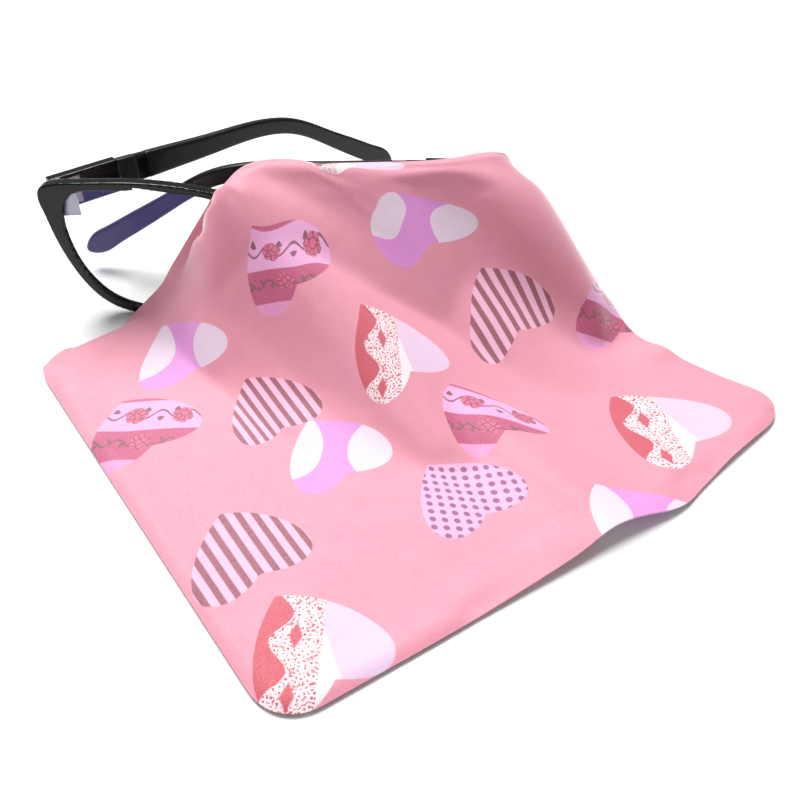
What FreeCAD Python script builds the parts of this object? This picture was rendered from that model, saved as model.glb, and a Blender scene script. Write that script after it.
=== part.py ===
import FreeCAD, Part
import math
import os

# Folded spectacles standing on a table with a cleaning cloth draped over them.
# Millimetres, +Z up, +X to the right along the front as seen from in front of it, and +Y from
# the front of the rims back towards the folded arms. Left and right are as seen from in front.
# The spectacles are drawn upright and open, then folded, leaned and set on the table.

Vec = FreeCAD.Vector

# ---- driving dimensions -------------------------------------------------------------------
FRONT_HALF_WIDTH = 73.0      # middle of the bridge to the end piece
RIM_DEPTH = 3.8              # front to back, through the plastic
FACE_RADIUS = 380.0          # the front is bowed to this radius across its width
EDGE_ROUND = 0.7             # rounding of the moulded edges
LEAN = 4.0                   # degrees that the front leans back when it stands

HINGE_X = 67.5               # hinge axis, out from the middle of the bridge
HINGE_Y = 11.9               # hinge axis, behind the bridge's front face
HINGE_Z = 38.8               # middle of the hinge, above the bottom of the rims
SEAT_Y = 10.3                # flat seat on the back of each end piece
ARM_LENGTH = 139.0           # hinge axis to the tip, measured straight
ARM_BEND = 88.0              # hinge axis to the middle of the ear bend
HALF_BEND = 12.0             # the ear bend starts and ends this far from its middle
ARM_DROP = 30.5              # how far the tip drops below the hinge
ARM_INNER = 1.5              # inner face of the arm, out from the hinge axis
FOLD_LEFT = 38.0             # degrees between each folded arm and the front
FOLD_RIGHT = 8.1

LENS_THICKNESS = 2.0
LENS_EDGE = 1.0              # how deep the lens sits in its groove
LENS_SETBACK = 0.9           # lens face behind the rim's front face
GROOVE_SLACK = 0.08

PAD_R = 2.4                  # moulded nose pads: capsules on the back of the rims
PAD_LENGTH = 6.5
PAD_FOOT = (11.6, 5.6, 12.5)
PAD_SPLAY = 24.0             # degrees that the pads spread apart downwards
PAD_TILT = 8.0

BARREL_R = 1.3
BARREL_COUNT = 5
BARREL_HEIGHT = 1.9
BARREL_GAP = 0.1
SCREW_R = 0.6
SCREW_BORE_R = 0.65
SCREW_HEAD_R = 1.15
SCREW_HEAD_HEIGHT = 0.7
SCREW_SLOT = 0.3

BLOCK_END = 21.5             # thick hinge block at the front of the arm
BLOCK_HALF_HEIGHT = 5.25
BLOCK_THICKNESS = 4.0
BAND_START = 28.0            # dark inlaid band round the arm
BAND_END = 32.0
BAND_DEPTH = 0.35
BAND_SINK = 0.12
ARM_SET_IN = 0.4             # the arm is this much thinner than the block on each side
ARM_THICKNESS = 3.2
ARM_ROUND = 1.0

CLOTH_THICKNESS = 1.2
CLOTH_TOP = 48.0             # height of the ridge over the rims
CLOTH_ON_ARM = 46.2          # height where it passes over the folded right arm
CLOTH_GRID = 5.0             # spacing of the surface's control points

# ---- outlines, right half, seen from the front ---------------------------------------------
BRIDGE_TOP = (0.0, 41.6)
BRIDGE_UNDER = (0.0, 34.4)
RIM_OUTSIDE = [
    (16.7, 42.9), (27.7, 45.1), (37.4, 46.3), (47.2, 46.6), (59.8, 46.1), (68.6, 45.2),
    (72.2, 43.4), (FRONT_HALF_WIDTH, 40.4), (72.2, 35.5), (71.3, 30.5), (69.2, 22.2), (65.8, 13.8),
    (61.0, 6.7), (55.4, 2.6), (47.5, 0.4), (38.0, 0.0), (28.0, 1.0), (18.6, 5.2),
    (12.2, 11.8), (8.6, 19.4), (7.2, 27.0), (4.2, 32.8),
]
LENS_OPENING = [
    (33.1, 43.5), (19.5, 40.9), (12.6, 36.4), (11.0, 28.0), (13.6, 17.4), (20.2, 8.2),
    (29.6, 3.2), (38.0, 2.2), (46.4, 2.7), (55.6, 6.2), (61.2, 12.0), (64.6, 18.8),
    (66.5, 27.5), (66.3, 35.0), (63.6, 40.9), (55.1, 43.7), (42.9, 44.4),
]


def smooth_loop(points):
    """A smooth closed curve through points (x, z), drawn on the plane y = 0."""
    corners = [Vec(x, 0, z) for x, z in points]
    ahead = corners[1] - corners[-1]
    curve = Part.BSplineCurve()
    curve.interpolate(corners + corners[:1], InitialTangent=ahead, FinalTangent=ahead)
    return curve


def grown(points, grow):
    """The outline stretched about its middle until each side stands out by grow."""
    xs = [x for x, z in points]
    zs = [z for x, z in points]
    mid_x, mid_z = (min(xs) + max(xs)) / 2, (min(zs) + max(zs)) / 2
    stretch_x = 1 + 2 * grow / (max(xs) - min(xs))
    stretch_z = 1 + 2 * grow / (max(zs) - min(zs))
    return [(mid_x + (x - mid_x) * stretch_x, mid_z + (z - mid_z) * stretch_z) for x, z in points]


def prism(points, grow=0.0):
    """The outline as a bar running front to back, or a larger one by grow."""
    outline = Part.Wire([smooth_loop(grown(points, grow)).toShape()])
    outline.translate(Vec(0, -5, 0))
    return Part.Face(outline).extrude(Vec(0, 30, 0))


def bowed_slab(front, back):
    """The space between two upright cylinders that follow the bow of the front."""
    centre = Vec(0, FACE_RADIUS, -20)
    outer = Part.makeCylinder(FACE_RADIUS - front, 100, centre)
    inner = Part.makeCylinder(FACE_RADIUS - back, 100, centre)
    return outer.cut(inner)


def mirrored(points):
    return [(-x, z) for x, z in reversed(points)]


def box(low, high):
    size = [b - a for a, b in zip(low, high)]
    return Part.makeBox(*size, Vec(*low))


def flipped(shape):
    """The same part for the left side."""
    return shape.mirror(Vec(0, 0, 0), Vec(1, 0, 0))


def rounded(shape, radius, wanted):
    """Round the edges that wanted(edge) picks."""
    edges = [e for e in shape.Edges if wanted(e)]
    return shape.makeFillet(radius, edges) if edges else shape


# ---- front ---------------------------------------------------------------------------------
def front_outline():
    return [BRIDGE_TOP] + RIM_OUTSIDE + [BRIDGE_UNDER] + mirrored(RIM_OUTSIDE)


def nose_pad():
    """A moulded pad on the back of the right rim beside the nose: a leaning capsule."""
    ends = [Part.makeSphere(PAD_R), Part.makeSphere(PAD_R, Vec(0, 0, PAD_LENGTH))]
    pad = Part.makeCylinder(PAD_R, PAD_LENGTH).fuse(ends).removeSplitter()
    pad.rotate(Vec(0, 0, 0), Vec(0, 1, 0), -PAD_SPLAY)
    pad.rotate(Vec(0, 0, 0), Vec(1, 0, 0), -PAD_TILT)
    pad.translate(Vec(*PAD_FOOT))
    return pad.cut(prism(LENS_OPENING))


def make_front_half():
    """The right half of the front, from the middle of the bridge outwards."""
    half_space = box((0.0, -20.0, -20.0), (100.0, 40.0, 80.0))
    body = prism(front_outline()).common(bowed_slab(0.0, RIM_DEPTH)).common(half_space)
    body = body.cut(prism(LENS_OPENING))
    slot = bowed_slab(LENS_SETBACK - GROOVE_SLACK, LENS_SETBACK + LENS_THICKNESS + GROOVE_SLACK)
    body = body.cut(prism(LENS_OPENING, LENS_EDGE + GROOVE_SLACK).common(slot))
    seat = box((62.0, SEAT_Y, 25.0), (80.0, 20.0, 60.0))
    pocket = box((61.4, SEAT_Y - 0.8, 33.6), (68.6, 20.0, 44.0))
    return body.cut(seat).cut(pocket).fuse(nose_pad())


def make_front():
    half = make_front_half()
    return half.fuse(flipped(half)).removeSplitter().Solids[0]


def make_lens():
    plate = bowed_slab(LENS_SETBACK, LENS_SETBACK + LENS_THICKNESS)
    return prism(LENS_OPENING, LENS_EDGE).common(plate).Solids[0]


# ---- hinge ---------------------------------------------------------------------------------
def barrel_span(index):
    """Bottom and top of one barrel."""
    total = BARREL_COUNT * BARREL_HEIGHT + (BARREL_COUNT - 1) * BARREL_GAP
    low = HINGE_Z - total / 2 + index * (BARREL_HEIGHT + BARREL_GAP)
    return low, low + BARREL_HEIGHT


def hinge_leaf(plate, tongue_reach, indices):
    """A plate with its barrels; tongue_reach(low, high) is the tongue of one barrel."""
    leaf = plate
    for index in indices:
        low, high = barrel_span(index)
        barrel = Part.makeCylinder(BARREL_R, high - low, Vec(HINGE_X, HINGE_Y, low))
        leaf = leaf.fuse([barrel, tongue_reach(low, high)])
    bore = Part.makeCylinder(SCREW_BORE_R, 40, Vec(HINGE_X, HINGE_Y, HINGE_Z - 20))
    return leaf.cut(bore).removeSplitter().Solids[0]


def make_front_leaf():
    plate = box((61.5, SEAT_Y - 0.75, 33.8), (68.5, SEAT_Y, 43.8))

    def tongue(low, high):
        return box((HINGE_X - 1.0, SEAT_Y - 0.5, low), (HINGE_X + 1.0, HINGE_Y, high))

    return hinge_leaf(plate, tongue, (0, 2, 4))


def make_arm_leaf():
    inner = HINGE_X + ARM_INNER
    plate = box((inner, HINGE_Y - 0.9, 34.6), (inner + 0.8, HINGE_Y + 8.0, 43.0))

    def tongue(low, high):
        return box((HINGE_X, HINGE_Y - 0.9, low), (inner + 0.4, HINGE_Y + 0.9, high))

    return hinge_leaf(plate, tongue, (1, 3))


def make_screw():
    low = barrel_span(0)[0]
    top = barrel_span(BARREL_COUNT - 1)[1]
    shank = Part.makeCylinder(SCREW_R, top - low, Vec(HINGE_X, HINGE_Y, low))
    head = Part.makeCylinder(SCREW_HEAD_R, SCREW_HEAD_HEIGHT, Vec(HINGE_X, HINGE_Y, top))
    slot = box((HINGE_X - 2, HINGE_Y - SCREW_SLOT / 2, top + SCREW_SLOT),
               (HINGE_X + 2, HINGE_Y + SCREW_SLOT / 2, top + 2))
    return shank.fuse(head).cut(slot).removeSplitter()


# ---- arm, drawn open: it runs back along +Y from the hinge -----------------------------------
def arm_drop(run):
    """How far the arm's middle line lies below the hinge, at a distance run behind it."""
    slope = ARM_DROP / (ARM_LENGTH - ARM_BEND)
    if run < ARM_BEND - HALF_BEND:
        return 0.0, 0.0
    if run < ARM_BEND + HALF_BEND:
        part = run - (ARM_BEND - HALF_BEND)
        return slope * part * part / (4 * HALF_BEND), slope * part / (2 * HALF_BEND)
    return slope * (run - ARM_BEND), slope


ARM_HALF_HEIGHTS = [(BLOCK_END, 4.85), (40, 4.2), (58, 3.5), (76, 3.0), (92, 2.8), (108, 2.9),
                    (121, 3.4), (130, 3.7), (135.6, 3.3)]


def arm_side(sign, shrink):
    """Points along the top (sign +1) or underside (-1) of the arm, from the block to the tip."""
    points = []
    for run, half in ARM_HALF_HEIGHTS:
        drop, slope = arm_drop(run)
        tilt = math.atan(slope)
        reach = sign * (half - shrink)
        points.append((run + reach * math.sin(tilt), HINGE_Z - drop + reach * math.cos(tilt)))
    return points


def arm_body(shrink=0.0):
    """The arm's flat bar with its rounded paddle, or one that is smaller all round."""
    tip_drop, tip_slope = arm_drop(ARM_LENGTH)
    tip = (ARM_LENGTH - shrink, HINGE_Z - tip_drop)
    points = arm_side(1, shrink) + [tip] + arm_side(-1, shrink)[::-1]
    low = HINGE_X + ARM_INNER + ARM_SET_IN + shrink
    curve = Part.BSplineCurve()
    curve.interpolate([Vec(low, HINGE_Y + run, z) for run, z in points])
    edge = curve.toShape()
    back = Part.makeLine(edge.valueAt(edge.LastParameter), edge.valueAt(edge.FirstParameter))
    bar = Part.Face(Part.Wire([edge, back])).extrude(Vec(ARM_THICKNESS - 2 * shrink, 0, 0))
    return rounded(bar, ARM_ROUND, lambda e: e.Length > 100)


def band_slab():
    return box((40, HINGE_Y + BAND_START, 0), (100, HINGE_Y + BAND_END, 80))


def band_core():
    inner = HINGE_X + ARM_INNER + ARM_SET_IN + BAND_DEPTH
    outer = inner + ARM_THICKNESS - 2 * BAND_DEPTH
    half = 4.0
    return box((inner, HINGE_Y + BAND_START, HINGE_Z - half), (outer, HINGE_Y + BAND_END, HINGE_Z + half))


def make_arm():
    return arm_body().cut(band_slab().cut(band_core())).Solids[0]


def make_band():
    return arm_body(BAND_SINK).common(band_slab()).cut(band_core()).Solids[0]


def make_block():
    inner = HINGE_X + ARM_INNER
    front = SEAT_Y + 0.35
    low = HINGE_Z - BLOCK_HALF_HEIGHT
    high = HINGE_Z + BLOCK_HALF_HEIGHT
    end = HINGE_Y + BLOCK_END
    block = box((inner, front, low), (inner + BLOCK_THICKNESS, end, high))
    block = rounded(block, EDGE_ROUND, lambda e: e.BoundBox.YLength > 5)
    pocket = box((inner - 1, front - 1, 34.5), (inner + 0.85, HINGE_Y + 8.1, 43.1))
    return block.cut(pocket)


# ---- setting down --------------------------------------------------------------------------
def folded(shape, side):
    """Turn an open right-hand arm about its hinge to where it lies folded."""
    fold = FOLD_RIGHT if side > 0 else FOLD_LEFT
    moved = shape.copy()
    moved.rotate(Vec(HINGE_X, HINGE_Y, 0), Vec(0, 0, 1), 90 - fold)
    return moved if side > 0 else flipped(moved)


def leaned(shape):
    moved = shape.copy()
    moved.rotate(Vec(0, 0, 0), Vec(1, 0, 0), -LEAN)
    return moved


# ---- cloth ---------------------------------------------------------------------------------
# The cloth as it lies, seen from above: front corner, left corner, up to the rim, along the
# top of the rims to the back corner, down to the table and out to the right corner.
CLOTH_OUTLINE = [(0.4, -146.8), (-78.3, -19.1), (-50.0, 0.5), (-24.0, -3.0), (-15.0, 4.0), (-8.0, 15.0),
                 (40.0, 22.0), (76.0, 24.0), (96.0, 6.0), (116.0, -22.0), (150.3, -54.6)]
SHARP_CORNERS = (0, 1, 10)   # the cut corners that lie on the table
CORNER_ROUND = 11.0
RIDGE_LEFT = (-14.0, 7.0)
RIDGE_RIGHT = (71.0, 11.5)
RIDGE_HALF = 7.0             # the top of the ridge is level for this far each side
FOOT_LEFT = 24.0             # run of the front slope at the ridge's left end
FOOT_RIGHT = 60.0            # and at its right end
SIDE_RUN = 30.0              # run of the slope past the right end
BACK_RUN = 18.0              # run of the slope behind the folded arm
ARM_COVER = 5.0              # the cloth stays level for this far past the arm's back
FLAT_BEFORE = -80.0          # the cloth is flat on the table in front of this line


def fall(part):
    """1 at the top of a slope and 0 at its foot, level at both."""
    part = min(max(part, 0.0), 1.0)
    return 0.5 + 0.5 * math.cos(math.pi * part)


def cloth_height(x, y):
    """Height of the cloth's underside over the point (x, y) of the table."""
    (x0, y0), (x1, y1) = RIDGE_LEFT, RIDGE_RIGHT
    along = ((x - x0) * (x1 - x0) + (y - y0) * (y1 - y0)) / ((x1 - x0) ** 2 + (y1 - y0) ** 2)
    along = min(max(along, 0.0), 1.0)
    near_x = x0 + along * (x1 - x0)
    near_y = y0 + along * (y1 - y0)
    away = max(math.hypot(x - near_x, y - near_y) - RIDGE_HALF, 0.0)
    foot = FOOT_LEFT + (FOOT_RIGHT - FOOT_LEFT) * along
    if y <= near_y:
        return CLOTH_TOP * fall(away / foot)
    arm_back = 19.5 + (68.0 - near_x) * math.tan(math.radians(FOLD_RIGHT)) - near_y
    to_arm = max(arm_back - RIDGE_HALF, 1.0) + ARM_COVER
    side = max(x - x1, 0.0) / SIDE_RUN
    if away < to_arm:
        return (CLOTH_TOP - (CLOTH_TOP - CLOTH_ON_ARM) * away / to_arm) * fall(side)
    return CLOTH_ON_ARM * fall((away - to_arm) / BACK_RUN) * fall(side)


def draped_surface():
    """The underside of the cloth as one smooth surface over the whole table."""
    xs = [-100 + CLOTH_GRID * i for i in range(int(270 / CLOTH_GRID) + 1)]
    ys = [-165 + CLOTH_GRID * i for i in range(int(240 / CLOTH_GRID) + 1)]
    poles = [[Vec(x, y, cloth_height(x, y)) for y in ys] for x in xs]
    times = [[4] + [1] * (len(line) - 4) + [4] for line in (xs, ys)]
    knots = [[float(i) for i in range(len(line))] for line in times]
    surface = Part.BSplineSurface()
    surface.buildFromPolesMultsKnots(poles, *times, *knots, False, False, 3, 3)
    return surface.toShape()


def cloth_footprint():
    corners = [Vec(x, y, -5) for x, y in CLOTH_OUTLINE]
    block = Part.Face(Part.makePolygon(corners + corners[:1])).extrude(Vec(0, 0, 80))
    sharp = [CLOTH_OUTLINE[i] for i in SHARP_CORNERS]

    def is_sharp(edge):
        middle = edge.CenterOfMass
        upright = edge.BoundBox.ZLength > 79
        return upright and any(math.hypot(middle.x - x, middle.y - y) < 1 for x, y in sharp)

    return rounded(block, CORNER_ROUND, is_sharp)


def make_cloth():
    """A draped sheet behind FLAT_BEFORE and a flat plate in front of it, trimmed to the outline."""
    draped = draped_surface().extrude(Vec(0, 0, CLOTH_THICKNESS))
    draped = draped.common(box((-200, FLAT_BEFORE, -5), (200, 200, 80)))
    plate = box((-200, -200, 0), (200, FLAT_BEFORE, CLOTH_THICKNESS))
    footprint = cloth_footprint()
    return draped.common(footprint).fuse(plate.common(footprint)).Solids[0]


# ---- everything in place -------------------------------------------------------------------
def build():
    parts = {"frame_front": leaned(make_front())}
    fixed = {"lens": make_lens(), "hinge_front_leaf": make_front_leaf(), "hinge_screw": make_screw()}
    moving = {"hinge_arm_leaf": make_arm_leaf(), "temple_block": make_block(),
              "temple_band": make_band(), "temple_arm": make_arm()}
    for side, word in ((1, "right"), (-1, "left")):
        for name, shape in fixed.items():
            parts[name + "_" + word] = leaned(shape if side > 0 else flipped(shape))
        for name, shape in moving.items():
            parts[name + "_" + word] = leaned(folded(shape, side))
    table = min(shape.optimalBoundingBox(False, False).ZMin for shape in parts.values())
    print("raised by", round(-table, 3))
    for shape in parts.values():
        shape.translate(Vec(0, 0, -table))
    parts["cleaning_cloth"] = make_cloth()
    return parts


parts = build()
whole = Part.makeCompound(list(parts.values())).optimalBoundingBox(False, False)
shift = Vec(-whole.Center.x, -whole.Center.y, -whole.ZMin)
os.makedirs("parts", exist_ok=True)
for name, shape in parts.items():
    shape.translate(shift)
    shape.exportStep("parts/" + name + ".step")
    low = shape.BoundBox
    print(name, shape.isValid(), len(shape.Solids), round(shape.Volume, 1),
          [round(v, 2) for v in (low.XMin, low.YMin, low.ZMin, low.XMax, low.YMax, low.ZMax)])
print("shift", round(shift.x, 3), round(shift.y, 3), round(shift.z, 3))
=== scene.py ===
# %% [markdown]
# # Spectacles under a cleaning cloth
# A pair of black spectacles stands folded on a table. A thin printed cloth is thrown over the
# top of the rims and spreads out in front. The spectacles are hard parts that come from the CAD
# model; the cloth is soft, so its shape is found by letting a flat sheet fall and settle.

# %% The fixed frame
import bpy
import bmesh
import math
from mathutils import Matrix, Vector


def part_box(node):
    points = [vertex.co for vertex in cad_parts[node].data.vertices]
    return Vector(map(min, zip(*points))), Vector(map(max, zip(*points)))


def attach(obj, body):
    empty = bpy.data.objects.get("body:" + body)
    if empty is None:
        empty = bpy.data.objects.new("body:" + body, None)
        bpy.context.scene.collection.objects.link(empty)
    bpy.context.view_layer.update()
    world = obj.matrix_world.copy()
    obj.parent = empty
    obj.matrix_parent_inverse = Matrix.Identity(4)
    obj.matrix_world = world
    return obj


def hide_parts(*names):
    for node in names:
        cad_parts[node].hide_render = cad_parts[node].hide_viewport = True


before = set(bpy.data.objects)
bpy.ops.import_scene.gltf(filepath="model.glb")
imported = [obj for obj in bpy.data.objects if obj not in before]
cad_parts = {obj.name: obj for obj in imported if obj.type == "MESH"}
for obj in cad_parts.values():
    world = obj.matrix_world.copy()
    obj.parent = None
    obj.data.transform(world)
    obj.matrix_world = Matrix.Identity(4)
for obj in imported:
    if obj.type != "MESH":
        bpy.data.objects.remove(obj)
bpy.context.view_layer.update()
scene = bpy.context.scene
rim_low, rim_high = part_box("frame_front")
MM = 0.001
BRIDGE_BACK = 0.82 * MM
FOOT = Vector(((rim_low.x + rim_high.x) / 2, rim_low.y - BRIDGE_BACK, 0.0))


def at(x, y, z=0.0):
    """A place in millimetres: right, back and up from the table under the bridge."""
    return FOOT + Vector((x, y, z)) * MM


print("front", rim_low, rim_high)

# %% [markdown]
# ## Camera
# The view looks down on the cloth from the front, a little to the right of the bridge. Its lens
# is a normal one for the 36 mm film width: a wider lens would stretch the near corner.

# %% Camera
LENS_MM = 40.68
LOOK_DOWN = math.radians(42.34)
LOOK_RIGHT = math.radians(3.99)
camera_data = bpy.data.cameras.new("camera")
camera_data.lens = LENS_MM
camera_data.sensor_width = 36.0
camera_data.clip_start = 0.01
camera = bpy.data.objects.new("camera", camera_data)
scene.collection.objects.link(camera)
camera.location = at(20.2, -242.0, 180.5)
camera.rotation_euler = (math.pi / 2 - LOOK_DOWN, 0.0, -LOOK_RIGHT)
scene.camera = camera
print("camera", camera.location, "lens", LENS_MM)

# %% [markdown]
# ## The cloth
# The sheet was cut 150 by 180 mm with rounded corners. Its flat shape is kept as the mesh's
# first shape key, which tells the solver how long every thread is. A second key lays it roughly
# over the rims, as a hand would, by blending its four edges. The solver then drops it.

# %% Flat sheet
CUT_ALONG = 180.0
CUT_ACROSS = 150.0
CORNER_ARC = 11.0
CELL = 2.5
SIM_SCALE = 10.0


def rounded_point(across, along):
    """Pull a grid point near a corner in, so that the corner becomes an arc."""
    near_a = min(max(across, CORNER_ARC), CUT_ACROSS - CORNER_ARC)
    near_b = min(max(along, CORNER_ARC), CUT_ALONG - CORNER_ARC)
    da, db = across - near_a, along - near_b
    length = math.hypot(da, db)
    if da == 0.0 or db == 0.0:
        return across, along
    pull = max(abs(da), abs(db)) / length
    return near_a + da * pull, near_b + db * pull


def smooth_edge(stations):
    """A curve through (distance, place) stations, read at a distance along the cloth's edge."""
    keys = [s for s, _ in stations]
    places = [p for _, p in stations]

    def read(distance):
        index = max(i for i in range(len(keys) - 1) if keys[i] <= max(distance, keys[0]) or i == 0)
        index = min(index, len(keys) - 2)
        part = (distance - keys[index]) / (keys[index + 1] - keys[index])
        p1, p2 = places[index], places[index + 1]
        p0 = places[index - 1] if index else 2 * p1 - p2
        p3 = places[index + 2] if index + 2 < len(places) else 2 * p2 - p1
        line = (2 * p1 + (p2 - p0) * part + (2 * p0 - 5 * p1 + 4 * p2 - p3) * part ** 2
                + (3 * p1 - p0 - 3 * p2 + p3) * part ** 3)
        return line * 0.5

    return read


CORNER_NEAR = Vector((0.4, -146.8, 0.5))
CORNER_LEFT = Vector((-78.3, -19.1, 0.5))
CORNER_RIGHT = Vector((147.5, -56.5, 0.5))
RIDGE_Z = 48.2
CORNER_TOP = Vector((71.5, 17.0, RIDGE_Z))
edge_left = smooth_edge([(0, CORNER_NEAR), (75, (CORNER_NEAR + CORNER_LEFT) / 2),
                         (150, CORNER_LEFT)])
edge_front = smooth_edge([(0, CORNER_NEAR), (44, Vector((38, -126.5, 0.5))),
                          (84, Vector((71, -108, 2.5))), (104, Vector((86, -99, 5.0))),
                          (124, Vector((104, -92, 1.5))), (136, Vector((113, -84.5, 0.5))),
                          (152, Vector((125, -74, 1.5))), (180, CORNER_RIGHT)])
edge_back = smooth_edge([(0, CORNER_LEFT), (32, Vector((-50, 1.5, 1))),
                         (60, Vector((-33.5, 2, 22.5))),
                         (88, Vector((-16.5, 5, 44.5))), (98, Vector((-9, 12.5, RIDGE_Z))),
                         (109, Vector((1, 15.5, RIDGE_Z))), (121, Vector((11.5, 11, RIDGE_Z))),
                         (129, Vector((19, 11.5, RIDGE_Z))), (159, Vector((49, 11.5, RIDGE_Z))),
                         (174, Vector((65, 16.0, RIDGE_Z))), (180, CORNER_TOP)])
edge_right = smooth_edge([(0, CORNER_RIGHT), (47, Vector((115, -24, 1))),
                          (80, Vector((104, -6, 12))), (110, Vector((91, 8, 30))),
                          (150, CORNER_TOP)])


def laid_point(across, along):
    """Where a point of the sheet is laid before it is let go."""
    u, v = across / CUT_ACROSS, along / CUT_ALONG
    sides = edge_left(across) * (1 - v) + edge_right(across) * v
    ends = edge_front(along) * (1 - u) + edge_back(along) * u
    corners = ((1 - u) * (1 - v) * CORNER_NEAR + u * (1 - v) * CORNER_LEFT
               + (1 - u) * v * CORNER_RIGHT + u * v * CORNER_TOP)
    return sides + ends - corners


def height_over(x, y):
    """How high the CAD cloth stands over a place in millimetres, or 0 beside it."""
    start = at(x, y, 100.0)
    hit, where, _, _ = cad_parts["cleaning_cloth"].ray_cast(start, Vector((0, 0, -1)))
    return (where.z / MM) if hit else 0.0


PINNED_CLEAR = -1.0
FREE_CLEAR = 0.8


def make_sheet():
    """The flat sheet with its rounded corners, its UV in millimetres and its laid shape."""
    rows = int(CUT_ACROSS / CELL) + 1
    columns = int(CUT_ALONG / CELL) + 1
    flat = [rounded_point(i * CELL, j * CELL) for i in range(rows) for j in range(columns)]
    faces = []
    for i in range(rows - 1):
        for j in range(columns - 1):
            a = i * columns + j
            faces.append((a, a + 1, a + columns + 1, a + columns))
    mesh = bpy.data.meshes.new("cleaning_cloth_piece")
    mesh.from_pydata([(b * MM * SIM_SCALE, a * MM * SIM_SCALE, 0.0) for a, b in flat], [], faces)
    uv = mesh.uv_layers.new(name="print")
    for loop in mesh.loops:
        a, b = flat[loop.vertex_index]
        uv.data[loop.index].uv = (b, a)
    sheet = bpy.data.objects.new("cloth", mesh)
    scene.collection.objects.link(sheet)
    sheet.shape_key_add(name="cut")
    laid = sheet.shape_key_add(name="laid")
    for key_point, (a, b) in zip(laid.data, flat):
        place = laid_point(a, b)
        clear = PINNED_CLEAR if a > CUT_ACROSS - 2 * CELL else FREE_CLEAR
        place.z = max(place.z, height_over(place.x, place.y) + clear)
        key_point.co = (FOOT + place * MM) * SIM_SCALE
    laid.value = 1.0
    return sheet, flat


sheet, flat_points = make_sheet()
print("sheet", len(flat_points), "points")

# %% [markdown]
# A cloth simulation only stops at objects marked as colliders. The rims, the lenses and the
# right arm are joined into one scratch copy, ten times too big like the sheet, because the
# solver's contact distances are coarse beside a thing this small. A grid stands for the table.

# %% Things it falls on
CONTACT_GAP = 0.004


def deselect():
    """Clears the selection, since an operator acts on all that is selected."""
    for obj in bpy.context.selected_objects:
        obj.select_set(False)


def collider(name, source_names):
    """A scaled copy of hard parts that the cloth can't pass through."""
    copies = []
    for source in source_names:
        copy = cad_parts[source].copy()
        copy.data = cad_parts[source].data.copy()
        scene.collection.objects.link(copy)
        copy.parent = None
        copy.data.transform(Matrix.Scale(SIM_SCALE, 4))
        copies.append(copy)
    deselect()
    for copy in copies:
        copy.select_set(True)
    bpy.context.view_layer.objects.active = copies[0]
    bpy.ops.object.join()
    joined = bpy.context.view_layer.objects.active
    joined.name = name
    merge = bmesh.new()
    merge.from_mesh(joined.data)
    bmesh.ops.remove_doubles(merge, verts=merge.verts, dist=0.0002)
    merge.to_mesh(joined.data)
    merge.free()
    return joined


def set_collision(obj, friction):
    obj.modifiers.new("collision", "COLLISION")
    obj.collision.thickness_outer = CONTACT_GAP
    obj.collision.cloth_friction = friction
    obj.collision.use_culling = False


HARD = ["frame_front", "lens_left", "lens_right", "temple_block_right", "temple_arm_right"]
spectacles = collider("sim_spectacles", HARD)
set_collision(spectacles, 20)
bpy.ops.mesh.primitive_grid_add(x_subdivisions=4, y_subdivisions=4, size=8.0, location=(0, 0, 0))
table = bpy.context.object
table.name = "sim_table"
set_collision(table, 30)
print("colliders", spectacles.name, table.name)

# %% [markdown]
# The sheet is let go and steps through sixty frames. Its ridge behind the brow, its front and
# left edges and three of its corners stay held, as they lie on the rims or the table, and the
# middle sags into folds between them.

# %% Let it fall
HELD_FROM = 86
cloth = sheet.modifiers.new("cloth", "CLOTH")
cloth.settings.quality = 8
cloth.settings.mass = 0.10
cloth.settings.tension_stiffness = 60
cloth.settings.compression_stiffness = 60
cloth.settings.shear_stiffness = 20
cloth.settings.bending_stiffness = 30.0
cloth.settings.tension_damping = 10
cloth.settings.compression_damping = 10
cloth.settings.shear_damping = 10
cloth.settings.bending_damping = 1.0
cloth.settings.air_damping = 3.0
cloth.settings.rest_shape_key = sheet.data.shape_keys.key_blocks["cut"]
cloth.collision_settings.distance_min = CONTACT_GAP
cloth.collision_settings.collision_quality = 4
cloth.collision_settings.friction = 20
cloth.collision_settings.use_self_collision = True
cloth.collision_settings.self_distance_min = CONTACT_GAP
pins = sheet.vertex_groups.new(name="held")
for index, (a, b) in enumerate(flat_points):
    held = a < 2 * CORNER_ARC and b < 2 * CORNER_ARC
    held = held or (a > CUT_ACROSS - CORNER_ARC and b < CORNER_ARC)
    held = held or (a < CORNER_ARC and b > CUT_ALONG - CORNER_ARC)
    held = held or (a > CUT_ACROSS - 1.5 * CELL and b > HELD_FROM) or a < CELL or b < CELL
    if held:
        pins.add([index], 1.0, "REPLACE")
cloth.settings.vertex_group_mass = "held"
FRAMES = 60
cloth.point_cache.frame_start = 1
cloth.point_cache.frame_end = FRAMES
scene.frame_start = 1
scene.frame_end = FRAMES
for number in range(1, FRAMES + 1):
    scene.frame_set(number)
settled = sheet.evaluated_get(bpy.context.evaluated_depsgraph_get()).to_mesh()
points = [v.co / SIM_SCALE for v in settled.vertices]
print("settled", len(points), "points, lowest", min(p.z for p in points))

# %% [markdown]
# ## The finished cloth
# The solver's points are at ten times real size, so they are read back smaller, and the scratch
# objects are thrown away. Subdivision rounds the 2.5 mm cells, and Solidify gives the knit its
# half millimetre. The UV map stays in flat millimetres, so a print follows every fold.

# %% Cloth piece
CLOTH_THICK = 0.5 * MM
SETTLE_DOWN = 0.4 * MM


def only(obj):
    """Selects one object and makes it active."""
    deselect()
    obj.select_set(True)
    bpy.context.view_layer.objects.active = obj


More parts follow.
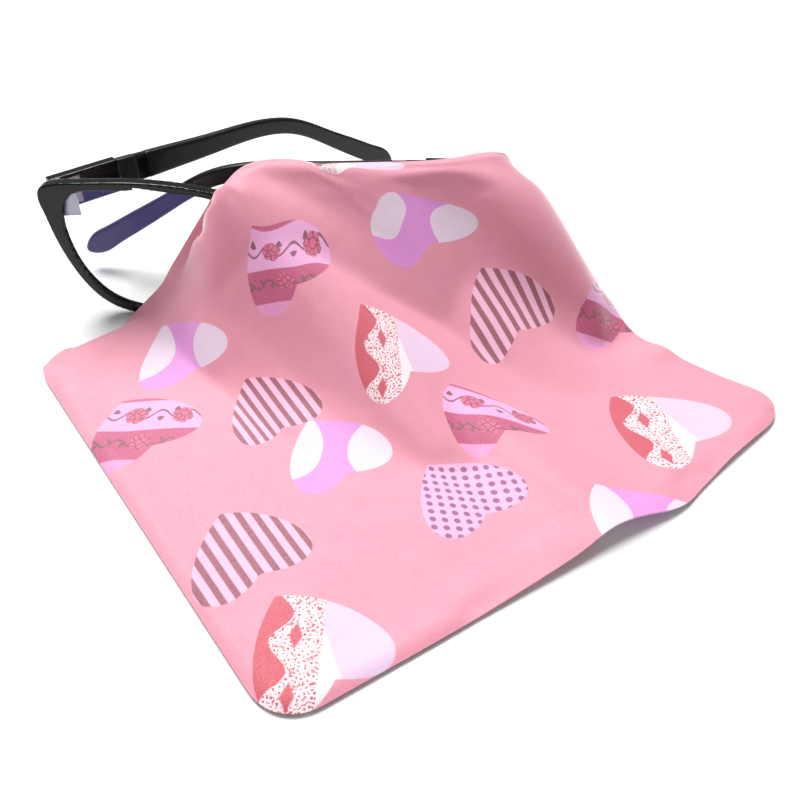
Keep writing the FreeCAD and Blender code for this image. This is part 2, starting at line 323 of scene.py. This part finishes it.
def modified(obj, kind, **settings):
    """Adds a modifier with its settings and applies it."""
    only(obj)
    bpy.ops.object.modifier_add(type=kind)
    modifier = obj.modifiers[-1]
    for key, value in settings.items():
        setattr(modifier, key, value)
    bpy.ops.object.modifier_apply(modifier=modifier.name)


sheet.modifiers.clear()
only(sheet)
bpy.ops.object.shape_key_remove(all=True)
for vertex, place in zip(sheet.data.vertices, points):
    vertex.co = place - Vector((0, 0, SETTLE_DOWN))
sheet.vertex_groups.clear()
for scratch in (spectacles, table):
    bpy.data.objects.remove(scratch, do_unlink=True)
modified(sheet, "SUBSURF", levels=1, render_levels=1)
modified(sheet, "SOLIDIFY", thickness=CLOTH_THICK, offset=0.0)
only(sheet)
bpy.ops.object.shade_smooth_by_angle(angle=math.radians(50))
sheet.name = "cloth"
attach(sheet, "cloth")
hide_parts("cleaning_cloth")
print("cloth", len(sheet.data.polygons), "faces")

# %% [markdown]
# ## Softened plastic parts
# Moulded and tumbled plastic has no knife edges: a narrow rounded edge catches a bright line of
# light. The CAD parts are exact but sharp, and their mesh must stay as it is. So each black part
# is copied and its doubled points are merged. A bevel would trip over the many slivers where
# the CAD surfaces meet, so a Remesh modifier rebuilds the skin from small even cells and a
# Smooth modifier melts them together, which rounds every edge by about half a millimetre.

# %% Rounded copies
MERGE_WITHIN = 0.004 * MM


def softened(node, name, body, voxel, passes):
    """A copy of a CAD node with rounded edges, which stands in for it."""
    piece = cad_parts[node].copy()
    piece.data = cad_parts[node].data.copy()
    piece.name = name
    piece.parent = None
    piece.matrix_world = Matrix.Identity(4)
    scene.collection.objects.link(piece)
    merge = bmesh.new()
    merge.from_mesh(piece.data)
    bmesh.ops.remove_doubles(merge, verts=merge.verts, dist=MERGE_WITHIN)
    merge.to_mesh(piece.data)
    merge.free()
    modified(piece, "REMESH", mode="VOXEL", voxel_size=voxel * MM, adaptivity=0.0)
    modified(piece, "SMOOTH", factor=0.5, iterations=passes)
    only(piece)
    bpy.ops.object.shade_smooth()
    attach(piece, body)
    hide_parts(node)
    print(name, len(piece.data.polygons), "faces")
    return piece


front = softened("frame_front", "front", "front", 0.3, 7)
arms = {}
blocks = {}
for side in ("left", "right"):
    body = "temple_" + side
    arms[side] = softened("temple_arm_" + side, "arm_" + side, body, 0.3, 5)
    blocks[side] = softened("temple_block_" + side, "block_" + side, body, 0.25, 4)

# %% [markdown]
# ## Node helpers
# Every pattern here is arithmetic on a position. A few short helpers keep that readable: `maths`
# adds one Math node, `put` feeds a socket with a number or a link, and `new_group` makes a node
# group with named sockets, so that an effect is built once and used by many materials.

# %% Helpers for nodes
def colour(code):
    """A linear colour from a six-digit code."""
    parts = [int(code[i:i + 2], 16) / 255 for i in (0, 2, 4)]
    return tuple(c / 12.92 if c < 0.04045 else ((c + 0.055) / 1.055) ** 2.4 for c in parts) + (1.0,)


def put(tree, value, socket):
    """Links a socket to another, or sets its plain value."""
    if isinstance(value, bpy.types.NodeSocket):
        tree.links.new(value, socket)
    else:
        socket.default_value = value


def maths(tree, operation, *values):
    node = tree.nodes.new("ShaderNodeMath")
    node.operation = operation
    for socket, value in zip(node.inputs, values):
        put(tree, value, socket)
    return node.outputs[0]


def vector_maths(tree, operation, *values):
    node = tree.nodes.new("ShaderNodeVectorMath")
    node.operation = operation
    for socket, value in zip(node.inputs, values):
        put(tree, value, socket)
    return node.outputs["Value" if operation in ("LENGTH", "DOT_PRODUCT") else "Vector"]


def step_up(tree, value, soft):
    """0 below zero and 1 above it, with a short soft change between."""
    node = tree.nodes.new("ShaderNodeMapRange")
    for name, given in (("Value", value), ("From Min", -soft), ("From Max", soft)):
        put(tree, given, node.inputs[name])
    return node.outputs["Result"]


def mixed(tree, factor, first, second):
    """A Mix node for colours."""
    node = tree.nodes.new("ShaderNodeMix")
    node.data_type = "RGBA"
    for index, value in ((0, factor), (6, first), (7, second)):
        put(tree, value, node.inputs[index])
    return node.outputs[2]


def texture(tree, kind, vector, **settings):
    """A texture node; a capitalised setting is a socket and the others are properties."""
    node = tree.nodes.new(kind)
    for key, value in settings.items():
        if key[0].isupper():
            node.inputs[key].default_value = value
        else:
            setattr(node, key, value)
    tree.links.new(vector, node.inputs["Vector"])
    return node


def new_group(name, inputs, outputs):
    """An empty node group with its sockets: (tree, input sockets, output sockets)."""
    tree = bpy.data.node_groups.new(name, "ShaderNodeTree")
    for in_out, sockets in (("INPUT", inputs), ("OUTPUT", outputs)):
        for label, kind, default in sockets:
            socket = tree.interface.new_socket(label, in_out=in_out,
                                               socket_type="NodeSocket" + kind)
            if default is not None:
                socket.default_value = default
    source = tree.nodes.new("NodeGroupInput")
    target = tree.nodes.new("NodeGroupOutput")
    return tree, source.outputs, target.inputs


def use_group(tree, group, **values):
    node = tree.nodes.new("ShaderNodeGroup")
    node.node_tree = group
    for key, value in values.items():
        put(tree, value, node.inputs[key.replace("_", " ")])
    return node


# %% [markdown]
# ## The print
# Hearts in five patterns repeat over the cloth. Each place is stored in flat millimetres along
# the two cut edges. One group moves the origin to the nearest heart, another draws the outline,
# and one group per pattern fills it.

# %% Heart outline
LOBE_LIFT = 0.75
LOBE_TOP = math.hypot(1.0, LOBE_LIFT)
PRINT_SOFT = 0.15
HEART_REACH = 24.0
FAR_AWAY = (500.0, 500.0, 0.0)

nearest_tree, given, result = new_group(
    "nearest heart",
    [("Place", "Vector", None), ("Centre", "Vector", None), ("Other", "Vector", None)],
    [("Local", "Vector", None)])
offset = vector_maths(nearest_tree, "SUBTRACT", given["Place"], given["Centre"])
is_near = maths(nearest_tree, "LESS_THAN", vector_maths(nearest_tree, "LENGTH", offset),
                HEART_REACH)
choose = nearest_tree.nodes.new("ShaderNodeMix")
choose.data_type = "VECTOR"
put(nearest_tree, is_near, choose.inputs[0])
put(nearest_tree, given["Other"], choose.inputs[4])
put(nearest_tree, offset, choose.inputs[5])
put(nearest_tree, choose.outputs[1], result["Local"])

outline_tree, given, result = new_group(
    "heart outline",
    [("Local", "Vector", None), ("Width", "Float", 32.0), ("Height", "Float", 25.0)],
    [("X", "Float", None), ("Y", "Float", None), ("Mask", "Float", None)])
parts = outline_tree.nodes.new("ShaderNodeSeparateXYZ")
put(outline_tree, given["Local"], parts.inputs[0])
down = maths(outline_tree, "MULTIPLY", parts.outputs["Y"], -1.0)
wide = maths(outline_tree, "DIVIDE",
             maths(outline_tree, "MULTIPLY", parts.outputs["X"], 2.0), given["Width"])
tall = maths(outline_tree, "DIVIDE",
             maths(outline_tree, "MULTIPLY", down, LOBE_TOP + 1.0), given["Height"])
tall = maths(outline_tree, "ADD", tall, (LOBE_TOP - 1.0) / 2)
lobes = maths(outline_tree, "SUBTRACT", tall,
              maths(outline_tree, "MULTIPLY", maths(outline_tree, "ABSOLUTE", wide), LOBE_LIFT))
curve = maths(outline_tree, "ADD", maths(outline_tree, "MULTIPLY", wide, wide),
              maths(outline_tree, "MULTIPLY", lobes, lobes))
put(outline_tree, parts.outputs["X"], result["X"])
put(outline_tree, down, result["Y"])
inside = maths(outline_tree, "SUBTRACT", 1.0, curve)
put(outline_tree, step_up(outline_tree, inside, 0.025), result["Mask"])
print("heart outline", len(outline_tree.nodes), "nodes")

# %% [markdown]
# Each pattern is arithmetic on the distance from its heart's middle. Wrapping a distance repeats
# it, which gives stripes in one direction and dots in two. The petals are two discs.

# %% Patterns
LOCAL = ("Local", "Vector", None)
FILL = [("Color", "Color", None), ("Mask", "Float", None)]


def start_pattern(name, width, height):
    """A pattern group with its heart outline placed: (tree, x, y, output sockets, local)."""
    tree, given, result = new_group(name, [LOCAL], FILL)
    outline = use_group(tree, outline_tree, Local=given["Local"], Width=width, Height=height)
    put(tree, outline.outputs["Mask"], result["Mask"])
    return tree, outline.outputs["X"], outline.outputs["Y"], result, given["Local"]


def slanted(tree, x, y, along_x, along_y, shift=0.0):
    """Distance in millimetres along a slanting direction."""
    scaled = maths(tree, "MULTIPLY", x, along_x)
    both = maths(tree, "MULTIPLY_ADD", y, along_y, scaled)
    return maths(tree, "ADD", both, shift)


STRIPE_PERIOD = 3.75
STRIPE_BAR = 1.75
striped, x, y, result, local = start_pattern("striped heart", 32.3, 24.8)
saw = maths(striped, "ABSOLUTE", maths(striped, "WRAP", x, -STRIPE_PERIOD / 2, STRIPE_PERIOD / 2))
bar = step_up(striped, maths(striped, "SUBTRACT", STRIPE_BAR / 2, saw), PRINT_SOFT)
put(striped, mixed(striped, bar, colour("F3AECF"), colour("8E1540")), result["Color"])

DOT_STEP = (3.05, 2.75)
DOT_RADIUS = 0.85
dotted, x, y, result, local = start_pattern("dotted heart", 33.5, 23.5)
along = maths(dotted, "WRAP", slanted(dotted, x, y, 0.8, 0.6), -DOT_STEP[0] / 2, DOT_STEP[0] / 2)
across = maths(dotted, "WRAP", slanted(dotted, x, y, -0.6, 0.8), -DOT_STEP[1] / 2, DOT_STEP[1] / 2)
radius = maths(dotted, "SQRT", maths(dotted, "MULTIPLY_ADD", along, along,
                                      maths(dotted, "MULTIPLY", across, across)))
dot = step_up(dotted, maths(dotted, "SUBTRACT", DOT_RADIUS, radius), PRINT_SOFT)
put(dotted, mixed(dotted, dot, colour("F0A6D6"), colour("8A1D6E")), result["Color"])

petals, x, y, result, local = start_pattern("petal heart", 35.0, 25.0)


def disc(tree, centre_x, centre_y, radius):
    """Mask of a disc at a place on the heart."""
    off_x = maths(tree, "SUBTRACT", x, centre_x)
    off_y = maths(tree, "SUBTRACT", y, centre_y)
    away = maths(tree, "SQRT", maths(tree, "MULTIPLY_ADD", off_x, off_x,
                                     maths(tree, "MULTIPLY", off_y, off_y)))
    return step_up(tree, maths(tree, "SUBTRACT", radius, away), PRINT_SOFT)


left_petal = disc(petals, -14.0, -11.0, 15.8)
right_petal = disc(petals, 14.0, 10.0, 11.6)
either = maths(petals, "MAXIMUM", left_petal, right_petal)
put(petals, mixed(petals, either, colour("E283D6"), colour("ECD3E8")), result["Color"])
print("patterns so far", striped.name, dotted.name, petals.name)

# %% [markdown]
# The flower heart has slanting bands with small roses joined by a vine. A rose is a disc whose
# petals are cell edges; the vine is a band round a sine wave, with short leaves beside it.

# %% Flower heart
BAND_TOP, BAND_LOW, BAND_END = -9.2, 1.8, 12.6
ROSE_RADIUS = 2.9
flowered, x, y, result, local = start_pattern("flower heart", 31.0, 24.5)
across = slanted(flowered, x, y, -0.6, 0.8)
along = slanted(flowered, x, y, 0.8, 0.6)
petal_lines = texture(flowered, "ShaderNodeTexVoronoi", local, feature="DISTANCE_TO_EDGE",
                      voronoi_dimensions="2D", Scale=0.62)
petal_line = step_up(
    flowered, maths(flowered, "SUBTRACT", 0.11, petal_lines.outputs["Distance"]), 0.04)
rose_colour = mixed(flowered, petal_line, colour("E23A78"), colour("6E1038"))


def rose(tree, at_along, at_across, ruffle):
    """Mask of one rose with a ruffled rim."""
    da = maths(tree, "SUBTRACT", along, at_along)
    dc = maths(tree, "SUBTRACT", across, at_across)
    away = maths(tree, "SQRT", maths(tree, "MULTIPLY_ADD", da, da, maths(tree, "MULTIPLY", dc, dc)))
    rim = maths(tree, "MULTIPLY_ADD", ruffle, 1.4, ROSE_RADIUS - 0.7)
    return step_up(tree, maths(tree, "SUBTRACT", rim, away), PRINT_SOFT)


def vine(tree, middle, swing, period, start):
    """Mask of a thin stem that swings round a band's middle line, with leaves."""
    wave = maths(tree, "SINE", maths(tree, "MULTIPLY_ADD", along, 2 * math.pi / period, start))
    off = maths(tree, "ABSOLUTE", maths(tree, "SUBTRACT", maths(tree, "SUBTRACT", across, middle),
                                        maths(tree, "MULTIPLY", wave, swing)))
    stem = step_up(tree, maths(tree, "SUBTRACT", 0.38, off), PRINT_SOFT)
    counter = maths(tree, "ABSOLUTE", maths(tree, "ADD", maths(tree, "SUBTRACT", across, middle),
                                            maths(tree, "MULTIPLY", wave, swing * 1.3)))
    beat = maths(tree, "SINE", maths(tree, "MULTIPLY", along, 4 * math.pi / period))
    leaf = step_up(tree, maths(tree, "SUBTRACT", maths(tree, "MULTIPLY", beat, 0.9), counter),
                   PRINT_SOFT)
    return maths(tree, "MAXIMUM", stem, leaf)


ruffle_noise = texture(flowered, "ShaderNodeTexNoise", local, noise_dimensions="2D", Scale=0.55,
                       Detail=1.0)
ruffle = ruffle_noise.outputs["Fac"]
roses = rose(flowered, -1.5, -3.8, ruffle)
for place in ((11.5, -3.4), (2.0, 6.2)):
    roses = maths(flowered, "MAXIMUM", roses, rose(flowered, place[0], place[1], ruffle))
stems = maths(flowered, "MAXIMUM", vine(flowered, -4.0, 1.4, 8.5, 0.8),
              vine(flowered, 6.4, 1.2, 7.0, 2.0))
in_top = step_up(flowered, maths(flowered, "SUBTRACT", across, BAND_TOP), PRINT_SOFT)
in_low = step_up(flowered, maths(flowered, "SUBTRACT", across, BAND_LOW), PRINT_SOFT)
in_end = step_up(flowered, maths(flowered, "SUBTRACT", across, BAND_END), PRINT_SOFT)
bands = mixed(flowered, in_top, colour("C02068"), colour("EDA0D6"))
bands = mixed(flowered, in_low, bands, colour("BE1E68"))
bands = mixed(flowered, in_end, bands, colour("E98CC6"))
no_end = maths(flowered, "SUBTRACT", 1.0, in_end)
on_bands = maths(flowered, "MULTIPLY", in_top, no_end)
bands = mixed(flowered, maths(flowered, "MULTIPLY", stems, on_bands), bands, colour("7A103E"))
put(flowered, mixed(flowered, roses, bands, rose_colour), result["Color"])

# %% [markdown]
# The lace heart is crimson on one side of a slanting line. White lace loops lie over it: rings
# in small cells, plus the level lines of a noise, which wander like thread.

# %% Lace heart
LACE_LINE = 3.2
LACE_REACH = 9.5
laced, x, y, result, local = start_pattern("lace heart", 33.0, 29.0)
across = slanted(laced, x, y, 0.78, 0.62, -LACE_LINE)
along = slanted(laced, x, y, -0.62, 0.78)
cells = texture(laced, "ShaderNodeTexVoronoi", local, voronoi_dimensions="2D", Scale=0.72)
ring = maths(laced, "ABSOLUTE", maths(laced, "SUBTRACT", cells.outputs["Distance"], 0.42))
ring_mask = step_up(laced, maths(laced, "SUBTRACT", 0.15, ring), 0.05)
wander = texture(laced, "ShaderNodeTexNoise", local, noise_dimensions="2D", Scale=1.0, Detail=2.0)
thread = maths(laced, "ABSOLUTE", maths(laced, "SUBTRACT", wander.outputs["Fac"], 0.5))
thread_mask = step_up(laced, maths(laced, "SUBTRACT", 0.05, thread), 0.02)
lace = maths(laced, "MAXIMUM", ring_mask, thread_mask)
scallop = maths(laced, "SINE", maths(laced, "MULTIPLY_ADD", along, 2 * math.pi / 15.0, 1.2))
reach = maths(laced, "MULTIPLY_ADD", scallop, 2.4, LACE_REACH)
inside_lace = step_up(laced, maths(laced, "ADD", across, reach), 0.25)
window = maths(laced, "ABSOLUTE", maths(laced, "WRAP", maths(laced, "ADD", along, 1.0), -7.5, 7.5))
off_eye = maths(laced, "ABSOLUTE", maths(laced, "ADD", across, 6.0))
eye = maths(laced, "MULTIPLY_ADD", window, 0.45, off_eye)
eye_mask = step_up(laced, maths(laced, "SUBTRACT", eye, 1.6), 0.3)
lace_mask = maths(laced, "MULTIPLY", lace, maths(laced, "MULTIPLY", inside_lace, eye_mask))
crimson = mixed(laced, lace_mask, colour("C8123C"), colour("F8E6EC"))
past_line = step_up(laced, across, PRINT_SOFT)
strip_end = slanted(laced, across, along, 1.0, -0.4, -1.6)
past_strip = step_up(laced, strip_end, PRINT_SOFT)
plain_side = mixed(laced, past_strip, colour("F3E6EC"), colour("E6C2E2"))
put(laced, mixed(laced, past_line, crimson, plain_side), result["Color"])
print("patterns", flowered.name, laced.name)

# %% [markdown]
# ## Surface grain
# Suede microfibre, moulded plastic and brushed metal all need fine relief. One group gives a
# height and a slow mottle from noise at a chosen size, and each material decides how to use them.

# %% Grain group
grain_tree, given, result = new_group(
    "surface grain",
    [("Place", "Vector", None), ("Fine", "Float", 1.0), ("Stretch", "Vector", (1.0, 1.0, 1.0))],
    [("Height", "Float", None), ("Mottle", "Float", None), ("Specks", "Float", None)])
stretched = vector_maths(grain_tree, "MULTIPLY", given["Place"], given["Stretch"])
scaled = grain_tree.nodes.new("ShaderNodeVectorMath")
scaled.operation = "SCALE"
put(grain_tree, stretched, scaled.inputs[0])
put(grain_tree, given["Fine"], scaled.inputs["Scale"])
fine = texture(grain_tree, "ShaderNodeTexNoise", scaled.outputs["Vector"], Scale=1.0, Detail=3.0)
slow = texture(grain_tree, "ShaderNodeTexNoise", scaled.outputs["Vector"], Scale=0.06, Detail=2.0)
specks = texture(grain_tree, "ShaderNodeTexVoronoi", scaled.outputs["Vector"], Scale=0.35)
put(grain_tree, fine.outputs["Fac"], result["Height"])
put(grain_tree, slow.outputs["Fac"], result["Mottle"])
put(grain_tree, specks.outputs["Distance"], result["Specks"])
print("grain", len(grain_tree.nodes), "nodes")

# %% [markdown]
# ## Cloth material
# The pink ground is mottled a little, and each pattern is mixed over it by its heart's mask. Fine
# raised fibres catch light at a grazing angle, which is what the shader's sheen is for. The
# centres are where the hearts lie on the flat cloth, along its long edge and across it.

# %% Cloth material
HEARTS = {
    "striped": (striped, [(17.4, 46.3), (49.5, 87.0), (141.0, 77.5)]),
    "dotted": (dotted, [(80.0, 31.0)]),
    "petal": (petals, [(57.8, 62.3), (37.0, 123.5), (111.0, 0.5), (130.0, 113.0)]),
    "flower": (flowered, [(13.0, 102.0), (84.0, 119.0), (107.0, 46.3), (176.0, 64.0)]),
    "lace": (laced, [(17.0, 14.5), (96.0, 78.0), (149.5, 21.0), (129.0, 153.5)]),
}


def new_material(name):
    """An empty material: (material, tree, shader)."""
    material = bpy.data.materials.new(name)
    material.use_nodes = True
    tree = material.node_tree
    return material, tree, tree.nodes["Principled BSDF"]


def bumped(tree, shader, height, strength, distance):
    """Feeds a height through a Bump node into the shader's normal."""
    bump = tree.nodes.new("ShaderNodeBump")
    bump.inputs["Strength"].default_value = strength
    bump.inputs["Distance"].default_value = distance
    put(tree, height, bump.inputs["Height"])
    put(tree, bump.outputs["Normal"], shader.inputs["Normal"])


cloth_material, tree, shader = new_material("printed suede microfibre")
uv = tree.nodes.new("ShaderNodeUVMap")
uv.uv_map = "print"
place = uv.outputs["UV"]
grain = use_group(tree, grain_tree, Place=place, Fine=2.6)
base = mixed(tree, grain.outputs["Mottle"], colour("E37F99"), colour("E98DA5"))
for name, (pattern, centres) in HEARTS.items():
    local = None
    for centre in centres:
        near = use_group(tree, nearest_tree, Place=place, Centre=(centre[0], centre[1], 0.0))
        if local is not None:
            put(tree, local, near.inputs["Other"])
        else:
            near.inputs["Other"].default_value = FAR_AWAY
        local = near.outputs["Local"]
    fill = use_group(tree, pattern, Local=local)
    base = mixed(tree, fill.outputs["Mask"], base, fill.outputs["Color"])
nap = step_up(tree, maths(tree, "SUBTRACT", grain.outputs["Height"], 0.5), 0.3)
worn = mixed(tree, maths(tree, "MULTIPLY", nap, 0.16), base, colour("FFFFFF"))
put(tree, worn, shader.inputs["Base Color"])
rough = maths(tree, "MULTIPLY_ADD", grain.outputs["Specks"], 0.12, 0.52)
put(tree, rough, shader.inputs["Roughness"])
shader.inputs["Specular IOR Level"].default_value = 0.6
shader.inputs["Sheen Weight"].default_value = 1.0
shader.inputs["Sheen Roughness"].default_value = 0.45
bumped(tree, shader, grain.outputs["Height"], 0.35, 0.0003)
sheet.data.materials.clear()
sheet.data.materials.append(cloth_material)
print("cloth material", len(tree.nodes), "nodes")

# %% [markdown]
# ## Plastic, metal and lens
# The front is polished black plastic, the arms are the same plastic with a satin moulding
# texture, the hinges are brushed steel, and each lens is coated glass-clear plastic.

# %% Hard materials
def object_place(tree):
    return tree.nodes.new("ShaderNodeTexCoord").outputs["Object"]


def hard_material(name, dark, light, rough_low, rough_high, fine, strength, metal=0.0, coat=0.0,
                  stretch=(1.0, 1.0, 1.0)):
    """A hard surface whose colour and gloss vary with the grain."""
    material, tree, shader = new_material(name)
    grain = use_group(tree, grain_tree, Place=object_place(tree), Fine=fine, Stretch=stretch)
    base = mixed(tree, grain.outputs["Mottle"], colour(dark), colour(light))
    put(tree, base, shader.inputs["Base Color"])
    rough = maths(tree, "MULTIPLY_ADD", grain.outputs["Specks"], rough_high - rough_low, rough_low)
    put(tree, rough, shader.inputs["Roughness"])
    bumped(tree, shader, grain.outputs["Height"], strength, 0.0001)
    shader.inputs["Metallic"].default_value = metal
    shader.inputs["Specular IOR Level"].default_value = 0.5 if metal else 0.34
    shader.inputs["Coat Weight"].default_value = coat
    shader.inputs["Coat Roughness"].default_value = 0.08
    return material


gloss_black = hard_material("polished black plastic", "030304", "09090A", 0.1, 0.22, 900, 0.03)
satin_black = hard_material("satin black plastic", "08080A", "101013", 0.26, 0.4, 1800, 0.08)
band_black = hard_material("dark lacquered band", "020202", "050506", 0.08, 0.18, 900, 0.02,
                           coat=0.3)
steel = hard_material("brushed steel", "8C8C90", "B4B4B8", 0.25, 0.45, 1500, 0.15, metal=1.0,
                      stretch=(0.2, 1.0, 1.0))
lens_clear, tree, shader = new_material("coated clear lens")
grain = use_group(tree, grain_tree, Place=object_place(tree), Fine=900.0)
base = mixed(tree, grain.outputs["Mottle"], colour("FAFBFF"), colour("FFFFFF"))
put(tree, base, shader.inputs["Base Color"])
put(tree, maths(tree, "MULTIPLY", grain.outputs["Specks"], 0.02), shader.inputs["Roughness"])
shader.inputs["Transmission Weight"].default_value = 1.0
shader.inputs["IOR"].default_value = 1.56
shader.inputs["Specular Tint"].default_value = colour("8A7CF0")


def give(objects, material):
    """Puts one material on several objects, in place of what they had."""
    for obj in objects:
        obj.data.materials.clear()
        obj.data.materials.append(material)


def nodes_of(*names):
    return [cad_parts[name + "_" + side] for name in names for side in ("left", "right")]


give([front] + list(blocks.values()), gloss_black)
give(arms.values(), satin_black)
give(nodes_of("temple_band"), band_black)
give(nodes_of("hinge_front_leaf", "hinge_arm_leaf", "hinge_screw"), steel)
give(nodes_of("lens"), lens_clear)
print("materials", [m.name for m in bpy.data.materials])

# %% [markdown]
# ## Table and light
# A white table top and two large soft lights: one high behind the spectacles, so that the flat
# part of the cloth is bright and the slope that faces the camera is deeper, and a weak fill in
# front.

# %% Table and light
deselect()
bpy.ops.mesh.primitive_plane_add(size=6.0, location=(0.0, 0.0, -0.0005))
floor = bpy.context.object
floor.name = "table_top"
floor_material, tree, shader = new_material("white table")
speck = texture(tree, "ShaderNodeTexNoise", object_place(tree), Scale=40.0, Detail=2.0)
base = mixed(tree, speck.outputs["Fac"], (0.93, 0.93, 0.93, 1), (0.95, 0.95, 0.95, 1))
put(tree, base, shader.inputs["Base Color"])
shader.inputs["Roughness"].default_value = 0.9
give([floor], floor_material)


def softbox(name, place, aim, size, power):
    """A round area light at a place in metres, turned to a point."""
    light = bpy.data.lights.new(name, "AREA")
    light.shape = "DISK"
    light.size = size
    light.energy = power
    lamp = bpy.data.objects.new(name, light)
    scene.collection.objects.link(lamp)
    lamp.location = place
    lamp.rotation_euler = (Vector(aim) - Vector(place)).to_track_quat("-Z", "Y").to_euler()


softbox("key", (-0.35, 0.75, 1.5), (0.0, 0.0, 0.0), 1.1, 41.0)
softbox("fill", (0.5, -1.6, 1.0), (0.0, 0.0, 0.02), 1.5, 2.0)
world = bpy.data.worlds.new("studio")
world.use_nodes = True
background = world.node_tree.nodes["Background"]
background.inputs["Color"].default_value = (1.0, 1.0, 1.0, 1.0)
background.inputs["Strength"].default_value = 0.28
scene.world = world
scene.view_settings.view_transform = "Standard"
print("lights", [light.name for light in bpy.data.lights])
